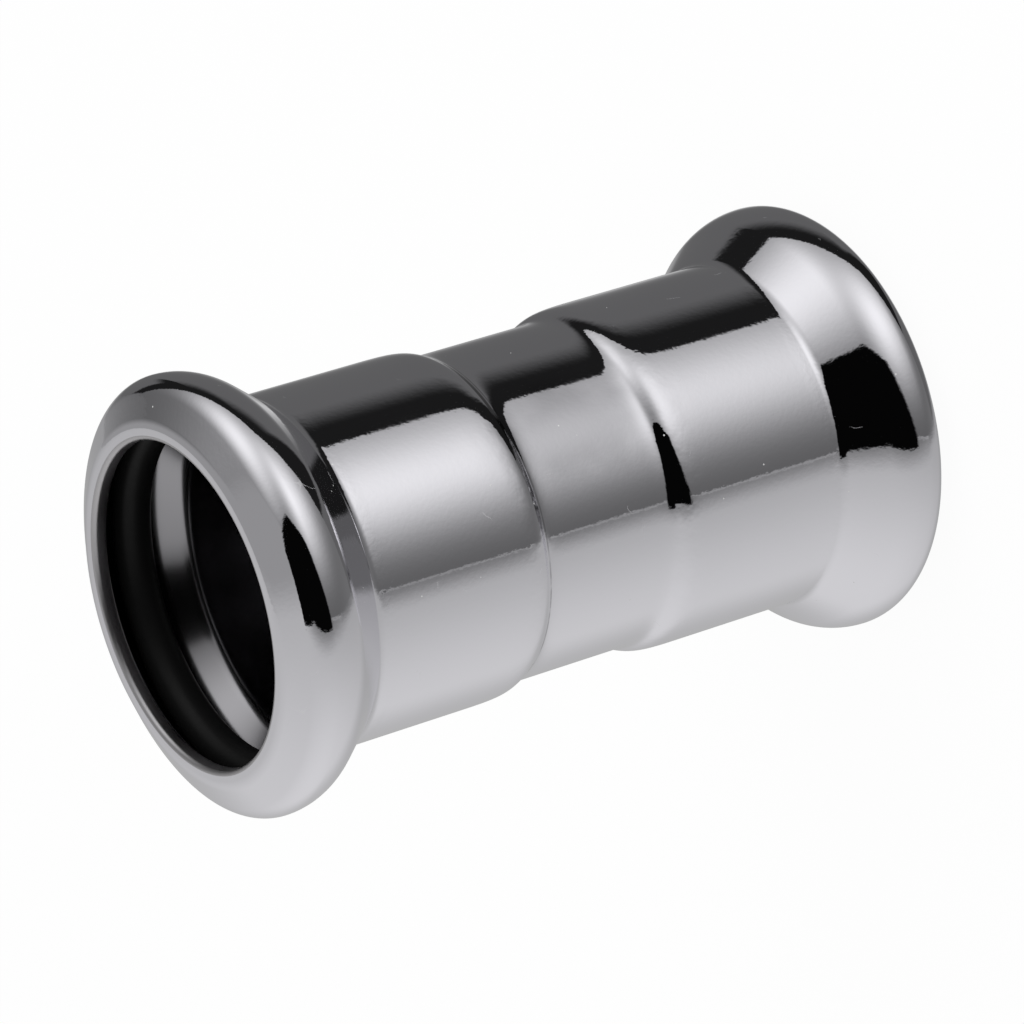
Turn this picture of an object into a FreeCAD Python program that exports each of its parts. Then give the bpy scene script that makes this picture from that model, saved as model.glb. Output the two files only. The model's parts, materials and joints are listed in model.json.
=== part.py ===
"""Straight press coupling for a thin-walled 28 mm pipe, with a seal ring in each end bead.

Lengths are millimetres and angles are degrees. The coupling stands on one mouth: +Z is its axis, the lower mouth
face is at Z = 0 and the upper one at Z = overall_length. Both ends are alike.
"""
import FreeCAD, Part
import math
import os
import Sketcher

# which point of a line or arc a sketch joint takes
START, END, CENTRE = range(1, 4)

SIZES = {
    # pipe and sheet
    "pipe_diameter": 28.0,          # outside of the pipe that is pushed in
    "pipe_clearance": 0.3,          # socket bore minus pipe, on the diameter
    "wall": 1.2,                    # sheet thickness of the formed tube
    "overall_length": 67.0,         # mouth face to mouth face
    "insertion_depth": 25.2,        # mouth face to where the pipe stop begins
    # pipe stop between socket and waist
    "stop_height": 0.86,            # how far the waist bore stands in from the socket bore
    "stop_angle": 24.0,             # slope of the stop against the axis
    "shoulder_radius": 3.2,         # outer round where the socket turns into the stop
    "toe_radius": 2.0,              # outer hollow where the stop runs into the waist
    # end bead
    "crown_station": 3.3,           # mouth face to the bead's widest ring
    "crown_front_radius": 2.3,      # outer round from the crown towards the mouth
    "crown_back_radius": 5.1,       # outer round from the crown towards the socket
    "flank_angle": 39.0,            # slope of the bead's back against the axis
    "neck_radius": 1.5,             # outer hollow between the bead's back and the socket
    "front_lean": 28.3,             # slope of the bead's front against the mouth plane
    # inward lip at the mouth
    "mouth_edge_radius": 0.45,      # round on the inner edge of the cut face
    "lip_land": 0.65,               # short straight bore behind that round
    "lip_back_radius": 0.3,         # round where the bore turns into the seal chamber
    # seal ring
    "seal_cord": 3.4,               # thickness of the ring's round section
    "seal_pinch": 0.1,              # pipe diameter minus the ring's inner diameter
    "crown_gap": 0.55,              # free height between the ring and the chamber's top
    "seat_clearance": 0.1,          # gap between the ring and the chamber wall it leans on
}

PIPE_STOP_RADIUS = "(Sizes.pipe_diameter + Sizes.pipe_clearance) / 2 - Sizes.stop_height"
SOCKET_BORE_RADIUS = "(Sizes.pipe_diameter + Sizes.pipe_clearance) / 2"
SEAL_BORE_RADIUS = "(Sizes.pipe_diameter - Sizes.seal_pinch) / 2"
SEAL_CENTRE_RADIUS = SEAL_BORE_RADIUS + " + Sizes.seal_cord / 2"
CROWN_RADIUS = SEAL_BORE_RADIUS + " + Sizes.seal_cord + Sizes.crown_gap + Sizes.wall"
HALF_LENGTH = "Sizes.overall_length / 2"


def write_sizes(doc):
    """Put every driving size in the sheet, one row each: name, then value under the same alias."""
    sheet = doc.addObject("Spreadsheet::Sheet", "Sizes")
    for row, (name, value) in enumerate(SIZES.items(), start=1):
        sheet.set("A%d" % row, name)
        sheet.set("B%d" % row, "%g" % value)
        sheet.setAlias("B%d" % row, name)
    doc.recompute()
    return sheet


def new_body(doc, name):
    body = doc.addObject("PartDesign::Body", name)
    body.Label = name
    return body


def origin_plane(body, role):
    for feature in body.Origin.OriginFeatures:
        if feature.Role == role:
            return feature
    raise ValueError("no plane " + role)


def new_sketch(body, name):
    """Open a sketch in the plane through the axis: its x is the radius, its y runs along the axis."""
    sketch = body.newObject("Sketcher::SketchObject", name)
    sketch.AttachmentSupport = [(origin_plane(body, "XZ_Plane"), "")]
    sketch.MapMode = "FlatFace"
    return sketch


def revolve(body, sketch, name):
    feature = body.newObject("PartDesign::Revolution", name)
    feature.Profile = sketch
    feature.ReferenceAxis = (sketch, ["V_Axis"])
    feature.Angle = 360.0
    sketch.Visibility = False
    return feature


def add_line(sketch, begin, finish):
    first = FreeCAD.Vector(begin[0], begin[1], 0)
    second = FreeCAD.Vector(finish[0], finish[1], 0)
    return sketch.addGeometry(Part.LineSegment(first, second), False)


def add_arc(sketch, centre, radius, low, high):
    """Add an arc that runs counter-clockwise from angle low to angle high."""
    middle = FreeCAD.Vector(centre[0], centre[1], 0)
    circle = Part.Circle(middle, FreeCAD.Vector(0, 0, 1), radius)
    arc = Part.ArcOfCircle(circle, math.radians(low), math.radians(high))
    return sketch.addGeometry(arc, False)


def on_circle(centre, radius, angle):
    turn = math.radians(angle)
    return (centre[0] + radius * math.cos(turn), centre[1] + radius * math.sin(turn))


def bind(sketch, constraint, name, formula):
    """Name a constraint and let a formula over the sizes drive it."""
    index = sketch.addConstraint(constraint)
    sketch.renameConstraint(index, name)
    sketch.setExpression("Constraints." + name, formula)


def bind_radius(sketch, arc, value, name, formula):
    bind(sketch, Sketcher.Constraint("Radius", arc, value), name, formula)


def bind_x(sketch, item, point, value, name, formula):
    bind(sketch, Sketcher.Constraint("DistanceX", -1, 1, item, point, value), name, formula)


def bind_y(sketch, item, point, value, name, formula):
    bind(sketch, Sketcher.Constraint("DistanceY", -1, 1, item, point, value), name, formula)


def bind_angle(sketch, line, value, name, formula):
    bind(sketch, Sketcher.Constraint("Angle", line, math.radians(value)), name, formula)


def join_smooth(sketch, first, first_point, second, second_point):
    sketch.addConstraint(Sketcher.Constraint("Tangent", first, first_point, second, second_point))


def join(sketch, first, first_point, second, second_point):
    sketch.addConstraint(Sketcher.Constraint("Coincident", first, first_point, second, second_point))


def starting_points():
    """Work out where each corner and arc centre of the wall's section lies, for the sizes as they stand."""
    s = SIZES
    p = {}
    p["top"] = s["overall_length"] / 2
    p["bore"] = (s["pipe_diameter"] + s["pipe_clearance"]) / 2
    p["socket"] = p["bore"] + s["wall"]
    p["waist_bore"] = p["bore"] - s["stop_height"]
    p["waist"] = p["waist_bore"] + s["wall"]
    p["seal_bore"] = (s["pipe_diameter"] - s["seal_pinch"]) / 2
    p["crown"] = p["seal_bore"] + s["seal_cord"] + s["crown_gap"] + s["wall"]
    p["crown_y"] = p["top"] - s["crown_station"]
    p["front_centre"] = (p["crown"] - s["crown_front_radius"], p["crown_y"])
    p["back_centre"] = (p["crown"] - s["crown_back_radius"], p["crown_y"])
    flank = math.radians(s["flank_angle"])
    lower = on_circle(p["back_centre"], s["crown_back_radius"], -s["flank_angle"])
    drop = lower[0] - p["socket"] - s["neck_radius"] * (1 - math.cos(flank))
    p["neck_y"] = lower[1] - drop / math.tan(flank) - s["neck_radius"] * math.sin(flank)
    p["neck_centre"] = (p["socket"] + s["neck_radius"], p["neck_y"])
    p["shoulder_y"] = p["top"] - s["insertion_depth"]
    p["shoulder_centre"] = (p["socket"] - s["shoulder_radius"], p["shoulder_y"])
    slope = math.radians(s["stop_angle"])
    rounds = s["shoulder_radius"] + s["toe_radius"]
    straight = (s["stop_height"] - rounds * (1 - math.cos(slope))) / math.tan(slope)
    p["toe_y"] = p["shoulder_y"] - rounds * math.sin(slope) - straight
    p["toe_centre"] = (p["waist"] + s["toe_radius"], p["toe_y"])
    front = on_circle(p["front_centre"], s["crown_front_radius"], 90 - s["front_lean"])
    reach = (p["top"] - front[1]) / math.tan(math.radians(s["front_lean"]))
    p["face_edge"] = (front[0] - reach, p["top"])
    p["edge_centre"] = (p["bore"] + s["mouth_edge_radius"], p["top"] - s["mouth_edge_radius"])
    p["land_y"] = p["edge_centre"][1] - s["lip_land"]
    p["lip_centre"] = (p["bore"] + s["lip_back_radius"], p["land_y"])
    across = p["front_centre"][0] - p["lip_centre"][0]
    along = p["lip_centre"][1] - p["front_centre"][1]
    span = math.hypot(across, along)
    inner = s["crown_front_radius"] - s["wall"]
    turn = math.atan2(across, along) + math.asin((inner + s["lip_back_radius"]) / span)
    p["lip_turn"] = math.degrees(turn)
    return p


def draw_outside(sketch, p):
    """Draw the outer line from the middle of the waist up to the cut face at the mouth."""
    s = SIZES
    toe_low = (p["waist"], p["toe_y"])
    toe_high = on_circle(p["toe_centre"], s["toe_radius"], 180 - s["stop_angle"])
    shoulder_low = on_circle(p["shoulder_centre"], s["shoulder_radius"], -s["stop_angle"])
    shoulder_high = (p["socket"], p["shoulder_y"])
    neck_low = (p["socket"], p["neck_y"])
    neck_high = on_circle(p["neck_centre"], s["neck_radius"], 180 - s["flank_angle"])
    flank_high = on_circle(p["back_centre"], s["crown_back_radius"], -s["flank_angle"])
    front = on_circle(p["front_centre"], s["crown_front_radius"], 90 - s["front_lean"])
    g = {}
    g["waist"] = add_line(sketch, (p["waist"], 0), toe_low)
    g["toe"] = add_arc(sketch, p["toe_centre"], s["toe_radius"], 180 - s["stop_angle"], 180)
    g["stop"] = add_line(sketch, toe_high, shoulder_low)
    g["shoulder"] = add_arc(sketch, p["shoulder_centre"], s["shoulder_radius"], -s["stop_angle"], 0)
    g["socket"] = add_line(sketch, shoulder_high, neck_low)
    g["neck"] = add_arc(sketch, p["neck_centre"], s["neck_radius"], 180 - s["flank_angle"], 180)
    g["flank"] = add_line(sketch, neck_high, flank_high)
    g["back"] = add_arc(sketch, p["back_centre"], s["crown_back_radius"], -s["flank_angle"], 0)
    g["front"] = add_arc(sketch, p["front_centre"], s["crown_front_radius"], 0, 90 - s["front_lean"])
    g["cone"] = add_line(sketch, front, p["face_edge"])
    return g


def draw_inside(sketch, p):
    """Draw the cut face and the inner line from the mouth down to the middle of the waist."""
    s = SIZES
    wall = s["wall"]
    edge = s["mouth_edge_radius"]
    chamber_front = s["crown_front_radius"] - wall
    chamber_back = s["crown_back_radius"] - wall
    lip_low = on_circle(p["lip_centre"], s["lip_back_radius"], 180 + p["lip_turn"])
    lip_high = on_circle(p["front_centre"], chamber_front, p["lip_turn"])
    flank_high = on_circle(p["back_centre"], chamber_back, -s["flank_angle"])
    neck_high = on_circle(p["neck_centre"], s["neck_radius"] + wall, 180 - s["flank_angle"])
    shoulder_low = on_circle(p["shoulder_centre"], s["shoulder_radius"] - wall, -s["stop_angle"])
    toe_high = on_circle(p["toe_centre"], s["toe_radius"] + wall, 180 - s["stop_angle"])
    g = {}
    g["face"] = add_line(sketch, p["face_edge"], (p["bore"] + edge, p["top"]))
    g["edge"] = add_arc(sketch, p["edge_centre"], edge, 90, 180)
    g["land"] = add_line(sketch, (p["bore"], p["top"] - edge), (p["bore"], p["land_y"]))
    g["lip"] = add_arc(sketch, p["lip_centre"], s["lip_back_radius"], 180, 180 + p["lip_turn"])
    g["lip_back"] = add_line(sketch, lip_low, lip_high)
    g["front"] = add_arc(sketch, p["front_centre"], chamber_front, 0, p["lip_turn"])
    g["back"] = add_arc(sketch, p["back_centre"], chamber_back, -s["flank_angle"], 0)
    g["flank"] = add_line(sketch, flank_high, neck_high)
    g["neck"] = add_arc(sketch, p["neck_centre"], s["neck_radius"] + wall, 180 - s["flank_angle"], 180)
    g["bore"] = add_line(sketch, (p["bore"], p["neck_y"]), (p["bore"], p["shoulder_y"]))
    g["shoulder"] = add_arc(sketch, p["shoulder_centre"], s["shoulder_radius"] - wall, -s["stop_angle"], 0)
    g["stop"] = add_line(sketch, shoulder_low, toe_high)
    g["toe"] = add_arc(sketch, p["toe_centre"], s["toe_radius"] + wall, 180 - s["stop_angle"], 180)
    g["waist"] = add_line(sketch, (p["waist_bore"], p["toe_y"]), (p["waist_bore"], 0))
    g["middle"] = add_line(sketch, (p["waist_bore"], 0), (p["waist"], 0))
    return g


def join_section(sketch, out, ins):
    """Join the section's lines and arcs end to end; every fold of the sheet is a smooth one."""
    join_smooth(sketch, out["waist"], END, out["toe"], END)
    join_smooth(sketch, out["toe"], START, out["stop"], START)
    join_smooth(sketch, out["stop"], END, out["shoulder"], START)
    join_smooth(sketch, out["shoulder"], END, out["socket"], START)
    join_smooth(sketch, out["socket"], END, out["neck"], END)
    join_smooth(sketch, out["neck"], START, out["flank"], START)
    join_smooth(sketch, out["flank"], END, out["back"], START)
    join_smooth(sketch, out["back"], END, out["front"], START)
    join_smooth(sketch, out["front"], END, out["cone"], START)
    join(sketch, out["cone"], END, ins["face"], START)
    join_smooth(sketch, ins["face"], END, ins["edge"], START)
    join_smooth(sketch, ins["edge"], END, ins["land"], START)
    join_smooth(sketch, ins["land"], END, ins["lip"], START)
    join_smooth(sketch, ins["lip"], END, ins["lip_back"], START)
    join_smooth(sketch, ins["lip_back"], END, ins["front"], END)
    join_smooth(sketch, ins["front"], START, ins["back"], END)
    join_smooth(sketch, ins["back"], START, ins["flank"], START)
    join_smooth(sketch, ins["flank"], END, ins["neck"], START)
    join_smooth(sketch, ins["neck"], END, ins["bore"], START)
    join_smooth(sketch, ins["bore"], END, ins["shoulder"], END)
    join_smooth(sketch, ins["shoulder"], START, ins["stop"], START)
    join_smooth(sketch, ins["stop"], END, ins["toe"], START)
    join_smooth(sketch, ins["toe"], END, ins["waist"], START)
    join(sketch, ins["waist"], END, ins["middle"], START)
    join(sketch, ins["middle"], END, out["waist"], START)


def hold_on_level_axis(sketch, element, point):
    """Keep one point on the sketch's own level axis, which has the number -1."""
    sketch.addConstraint(Sketcher.Constraint("PointOnObject", element, point, -1))


def set_directions(sketch, out, ins):
    """Set which parts of the section are straight along the axis, square to it, or alongside each other."""
    upright = (out["waist"], out["socket"], ins["land"], ins["bore"], ins["waist"])
    for line in upright:
        sketch.addConstraint(Sketcher.Constraint("Vertical", line))
    sketch.addConstraint(Sketcher.Constraint("Horizontal", ins["face"]))
    sketch.addConstraint(Sketcher.Constraint("Horizontal", ins["middle"]))
    hold_on_level_axis(sketch, ins["middle"], START)
    sketch.addConstraint(Sketcher.Constraint("Parallel", out["flank"], ins["flank"]))
    sketch.addConstraint(Sketcher.Constraint("Parallel", out["stop"], ins["stop"]))
    # the two rounds of the bead meet on its widest ring, outside and inside
    sketch.addConstraint(Sketcher.Constraint("Horizontal", out["front"], CENTRE, out["front"], START))
    sketch.addConstraint(Sketcher.Constraint("Horizontal", ins["front"], CENTRE, ins["front"], START))
    sketch.addConstraint(Sketcher.Constraint("Coincident", ins["front"], CENTRE, out["front"], CENTRE))
    sketch.addConstraint(Sketcher.Constraint("Horizontal", ins["shoulder"], CENTRE, out["shoulder"], CENTRE))


def set_radii(sketch, out, ins):
    """Set the rounds: inside and outside of one fold differ by the sheet's thickness."""
    s = SIZES
    wall = s["wall"]
    bind_radius(sketch, out["toe"], s["toe_radius"], "toe_outside", "Sizes.toe_radius")
    bind_radius(sketch, ins["toe"], s["toe_radius"] + wall, "toe_inside", "Sizes.toe_radius + Sizes.wall")
    bind_radius(sketch, out["shoulder"], s["shoulder_radius"], "shoulder_outside", "Sizes.shoulder_radius")
    bind_radius(
        sketch, ins["shoulder"], s["shoulder_radius"] - wall,
        "shoulder_inside", "Sizes.shoulder_radius - Sizes.wall",
    )
    bind_radius(sketch, out["neck"], s["neck_radius"], "neck_outside", "Sizes.neck_radius")
    bind_radius(sketch, ins["neck"], s["neck_radius"] + wall, "neck_inside", "Sizes.neck_radius + Sizes.wall")
    bind_radius(sketch, out["back"], s["crown_back_radius"], "back_outside", "Sizes.crown_back_radius")
    bind_radius(
        sketch, ins["back"], s["crown_back_radius"] - wall,
        "back_inside", "Sizes.crown_back_radius - Sizes.wall",
    )
    bind_radius(sketch, out["front"], s["crown_front_radius"], "front_outside", "Sizes.crown_front_radius")
    bind_radius(
        sketch, ins["front"], s["crown_front_radius"] - wall,
        "front_inside", "Sizes.crown_front_radius - Sizes.wall",
    )
    bind_radius(sketch, ins["edge"], s["mouth_edge_radius"], "mouth_edge", "Sizes.mouth_edge_radius")
    bind_radius(sketch, ins["lip"], s["lip_back_radius"], "lip_edge", "Sizes.lip_back_radius")


def set_places(sketch, out, ins, p):
    """Set where the section's parts stand: radii from the axis and stations from the middle."""
    s = SIZES
    waist = PIPE_STOP_RADIUS + " + Sizes.wall"
    socket = SOCKET_BORE_RADIUS + " + Sizes.wall"
    front_centre = CROWN_RADIUS + " - Sizes.crown_front_radius"
    crown_y = HALF_LENGTH + " - Sizes.crown_station"
    shoulder_y = HALF_LENGTH + " - Sizes.insertion_depth"
    land_y = HALF_LENGTH + " - Sizes.mouth_edge_radius - Sizes.lip_land"
    bind_x(sketch, out["waist"], START, p["waist"], "waist_radius", waist)
    bind_x(sketch, ins["waist"], END, p["waist_bore"], "waist_bore_radius", PIPE_STOP_RADIUS)
    bind_x(sketch, out["socket"], START, p["socket"], "socket_radius", socket)
    bind_x(sketch, ins["bore"], START, p["bore"], "bore_radius", SOCKET_BORE_RADIUS)
    bind_x(sketch, ins["land"], START, p["bore"], "lip_bore_radius", SOCKET_BORE_RADIUS)
    bind_x(sketch, out["front"], CENTRE, p["front_centre"][0], "front_centre_radius", front_centre)
    bind_y(sketch, out["front"], CENTRE, p["crown_y"], "crown_height", crown_y)
    bind_y(sketch, out["shoulder"], CENTRE, p["shoulder_y"], "shoulder_height", shoulder_y)
    bind_y(sketch, ins["face"], START, p["top"], "mouth_height", HALF_LENGTH)
    bind_y(sketch, ins["land"], END, p["land_y"], "land_height", land_y)
    lean = 180 - s["front_lean"]
    fall = 90 - s["flank_angle"]
    rise = 90 - s["stop_angle"]
    bind_angle(sketch, out["cone"], lean, "front_slope", "180 - Sizes.front_lean")
    bind_angle(sketch, out["flank"], fall, "flank_slope", "90 - Sizes.flank_angle")
    bind_angle(sketch, out["stop"], rise, "stop_slope", "90 - Sizes.stop_angle")


def make_fitting_body(doc):
    """Form the coupling's steel body: half of its wall is turned about the axis and mirrored at the waist."""
    body = new_body(doc, "fitting_body")
    sketch = new_sketch(body, "WallSection")
    p = starting_points()
    out = draw_outside(sketch, p)
    ins = draw_inside(sketch, p)
    join_section(sketch, out, ins)
    set_directions(sketch, out, ins)
    set_radii(sketch, out, ins)
    set_places(sketch, out, ins, p)
    half = revolve(body, sketch, "UpperHalf")
    whole = body.newObject("PartDesign::Mirrored", "BothEnds")
    whole.Originals = [half]
    whole.MirrorPlane = (origin_plane(body, "XY_Plane"), [""])
    whole.Refine = True
    body.Tip = whole
    body.setExpression("Placement.Base.z", HALF_LENGTH)
    return body


def make_seal_ring(doc, name, height):
    """Make one rubber ring; height is the formula for its middle plane above the lower mouth face."""
    s = SIZES
    body = new_body(doc, name)
    sketch = new_sketch(body, "Cord" + name.title().replace("_", ""))
    centre = (s["pipe_diameter"] - s["seal_pinch"]) / 2 + s["seal_cord"] / 2
    middle = FreeCAD.Vector(centre, 0, 0)
    cord = sketch.addGeometry(Part.Circle(middle, FreeCAD.Vector(0, 0, 1), s["seal_cord"] / 2), False)
    hold_on_level_axis(sketch, cord, CENTRE)
    bind_radius(sketch, cord, s["seal_cord"] / 2, "cord_radius", "Sizes.seal_cord / 2")
    bind_x(sketch, cord, CENTRE, centre, "ring_radius", SEAL_CENTRE_RADIUS)
    ring = revolve(body, sketch, "Turn" + name.title().replace("_", ""))
    body.Tip = ring
    body.setExpression("Placement.Base.z", height)
    return body


def seal_station():
    """Give the formula for the ring's distance from the mouth face: it leans on the chamber's back round."""
    reach = "(Sizes.crown_back_radius - Sizes.wall - Sizes.seal_cord / 2 - Sizes.seat_clearance)"
    rise = "(%s - (%s - Sizes.crown_back_radius))" % (SEAL_CENTRE_RADIUS, CROWN_RADIUS)
    return "Sizes.crown_station + sqrt(%s * %s - %s * %s)" % (reach, reach, rise, rise)


def check_document(doc):
    for item in doc.Objects:
        if "Invalid" in item.State or "Error" in item.State:
            raise ValueError("not computed: " + item.Label)


def write_part(body):
    shape = body.Shape
    if shape.isNull() or not shape.isValid():
        raise ValueError("bad shape: " + body.Label)
    if len(shape.Solids) != 1:
        raise ValueError("not one solid: " + body.Label)
    shape.exportStep("parts/%s.step" % body.Label)
    box = shape.BoundBox
    print("%s volume %.1f mm3" % (body.Label, shape.Volume))
    print("  x %.3f to %.3f" % (box.XMin, box.XMax))
    print("  y %.3f to %.3f" % (box.YMin, box.YMax))
    print("  z %.3f to %.3f" % (box.ZMin, box.ZMax))


def build():
    os.makedirs("parts", exist_ok=True)
    doc = FreeCAD.newDocument("press_coupling")
    write_sizes(doc)
    station = seal_station()
    bodies = [
        make_fitting_body(doc),
        make_seal_ring(doc, "seal_ring_lower", station),
        make_seal_ring(doc, "seal_ring_upper", "Sizes.overall_length - (%s)" % station),
    ]
    doc.recompute()
    check_document(doc)
    for body in bodies:
        write_part(body)


build()
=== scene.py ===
"""Straight press coupling for a 28 mm pipe: polished steel sleeve, two rubber seal rings, and a light tent.

Lengths are metres, written as millimetres times MM. The coupling stands on its lower mouth: +Z is its axis.
"""
import bmesh
import bpy
import json
import math
from mathutils import Matrix, Vector


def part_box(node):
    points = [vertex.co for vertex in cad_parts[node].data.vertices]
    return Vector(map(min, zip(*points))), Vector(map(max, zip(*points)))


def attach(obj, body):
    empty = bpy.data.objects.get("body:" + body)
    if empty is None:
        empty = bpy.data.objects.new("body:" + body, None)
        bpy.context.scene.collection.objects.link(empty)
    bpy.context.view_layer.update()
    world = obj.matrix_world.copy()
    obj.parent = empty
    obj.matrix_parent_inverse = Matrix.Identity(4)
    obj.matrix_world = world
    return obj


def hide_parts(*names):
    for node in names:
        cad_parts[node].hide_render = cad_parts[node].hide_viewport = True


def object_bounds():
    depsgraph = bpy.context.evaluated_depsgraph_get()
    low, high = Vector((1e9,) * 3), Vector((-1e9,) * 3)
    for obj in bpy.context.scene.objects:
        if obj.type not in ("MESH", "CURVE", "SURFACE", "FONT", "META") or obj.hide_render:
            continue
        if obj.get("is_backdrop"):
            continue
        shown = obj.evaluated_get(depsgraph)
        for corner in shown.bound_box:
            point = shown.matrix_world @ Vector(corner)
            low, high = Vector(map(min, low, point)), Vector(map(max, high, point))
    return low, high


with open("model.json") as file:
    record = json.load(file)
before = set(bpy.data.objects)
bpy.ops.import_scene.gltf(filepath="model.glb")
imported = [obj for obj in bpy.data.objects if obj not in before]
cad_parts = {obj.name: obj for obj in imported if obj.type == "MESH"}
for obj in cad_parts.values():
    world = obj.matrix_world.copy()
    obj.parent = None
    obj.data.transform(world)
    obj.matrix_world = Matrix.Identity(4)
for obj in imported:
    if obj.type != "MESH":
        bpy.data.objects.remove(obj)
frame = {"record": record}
CAD_LOW, CAD_HIGH = (tuple(corner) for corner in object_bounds())

bl_info = {
    "name": "Press Coupling",
    "version": (1, 0, 0),
    "blender": (4, 5, 0),
    "location": "3D View > Sidebar > Press Coupling",
    "description": "Builds a press coupling with its seal rings and a light tent",
    "category": "Add Mesh",
}

MM = 0.001
MIDDLE = Vector((0, 0, (CAD_LOW[2] + CAD_HIGH[2]) / 2))
SLEEVE_LOW, SLEEVE_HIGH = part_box("fitting_body")
RING_LOW, RING_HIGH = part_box("seal_ring_lower")
SOCKET_BORE = frame["record"]["mounts"][0]["dims"]["r_mm"] * MM


# section of the sleeve, drawn as radius against height above the waist's middle

# share of a curve's tightness over which its steepness at the start is taken
EASE_START = 0.01

# power that crowds the stop's heights where it is steep
CROWDING = 1.5


class Outline:
    """A line of straight runs and arcs, kept as points close enough for a mirror finish."""

    def __init__(self, arc_step, run_step):
        self.points = []
        self.arc_step = arc_step
        self.run_step = run_step

    def run(self, start, end):
        count = max(1, math.ceil(math.dist(start, end) / self.run_step))
        for i in range(count + 1):
            share = i / count
            self.add((start[0] + (end[0] - start[0]) * share, start[1] + (end[1] - start[1]) * share))

    def arc(self, centre, radius, first, last):
        count = max(4, math.ceil(abs(last - first) / self.arc_step))
        for i in range(count + 1):
            self.add(on_circle(centre, radius, first + (last - first) * i / count))

    def add(self, point):
        if not self.points or math.dist(point, self.points[-1]) > 1e-7:
            self.points.append(point)


def on_circle(centre, radius, angle):
    turn = math.radians(angle)
    return (centre[0] + radius * math.cos(turn), centre[1] + radius * math.sin(turn))


def outside_of_half(sleeve):
    """Walk from the middle of the waist out to the cut face at the mouth."""
    top = sleeve.overall_length / 2
    socket = sleeve.socket_bore + sleeve.wall
    waist = socket - sleeve.stop_height
    crown_y = top - sleeve.crown_station
    front_centre = (sleeve.crown_radius - sleeve.crown_front_radius, crown_y)
    back_centre = (sleeve.crown_radius - sleeve.crown_back_radius, crown_y)
    flank = math.degrees(sleeve.flank_angle)
    lean = math.degrees(sleeve.front_lean)
    flank_high = on_circle(back_centre, sleeve.crown_back_radius, -flank)
    neck_y = neck_height(sleeve, flank_high, socket)
    neck_centre = (socket + sleeve.neck_radius, neck_y)
    front = on_circle(front_centre, sleeve.crown_front_radius, 90 - lean)
    reach = (top - front[1]) / math.tan(sleeve.front_lean)
    line = Outline(sleeve.arc_step, sleeve.run_step)
    for y in stop_heights(sleeve):
        line.add((waist + sleeve.stop_height * stop_share(sleeve, y), y))
    line.add((socket, neck_y))
    line.arc(neck_centre, sleeve.neck_radius, 180, 180 - flank)
    line.arc(back_centre, sleeve.crown_back_radius, -flank, 0)
    line.arc(front_centre, sleeve.crown_front_radius, 0, 90 - lean)
    line.run(front, (front[0] - reach, top))
    return line.points


def stop_middle(sleeve):
    """Height at which the outside is halfway between waist and socket."""
    shoulder_y = sleeve.overall_length / 2 - sleeve.insertion_depth
    return (shoulder_y + toe_height(sleeve, shoulder_y)) / 2


def stop_heights(sleeve):
    """Heights at which the stop's slope is drawn: close together where it is steep."""
    middle = stop_middle(sleeve)
    count = sleeve.stop_steps
    steps = [(i / count) ** CROWDING for i in range(count + 1)]
    below = [middle - sleeve.toe_ease * step for step in reversed(steps)]
    return [0] + below + [middle + sleeve.shoulder_ease * step for step in steps[1:]]


def stop_share(sleeve, y):
    """How far the outside has risen from waist (0) to socket (1).

    Rolling leaves the slope eased into the socket over a long way and into the waist over a short one. Both
    parts are as steep as each other where they meet.
    """
    above = ease(sleeve.shoulder_ease / sleeve.shoulder_tightness)
    below = ease(sleeve.toe_ease / sleeve.toe_tightness)
    steep_above = above(EASE_START) / sleeve.shoulder_tightness
    steep_below = below(EASE_START) / sleeve.toe_tightness
    meeting = steep_above / (steep_above + steep_below)
    offset = y - stop_middle(sleeve)
    if offset > 0:
        return meeting + (1 - meeting) * above(offset / sleeve.shoulder_tightness)
    return meeting - meeting * below(-offset / sleeve.toe_tightness)


def ease(reach):
    """Curve that starts steep at 0 and runs out level at 1 once it has gone as far as its reach."""
    tail = 1 / (1 + reach * reach)
    whole = math.atan(reach) - reach * tail
    return lambda u: (math.atan(min(u, reach)) - min(u, reach) * tail) / whole


def neck_height(sleeve, flank_high, socket):
    """Find where the bead's back slope runs into the socket's straight wall."""
    slope = sleeve.flank_angle
    drop = flank_high[0] - socket - sleeve.neck_radius * (1 - math.cos(slope))
    return flank_high[1] - drop / math.tan(slope) - sleeve.neck_radius * math.sin(slope)


def toe_height(sleeve, shoulder_y):
    """Find where the pipe stop's slope has run out into the waist."""
    slope = sleeve.stop_angle
    rounds = sleeve.shoulder_radius + sleeve.toe_radius
    straight = (sleeve.stop_height - rounds * (1 - math.cos(slope))) / math.tan(slope)
    return shoulder_y - rounds * math.sin(slope) - straight


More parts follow.
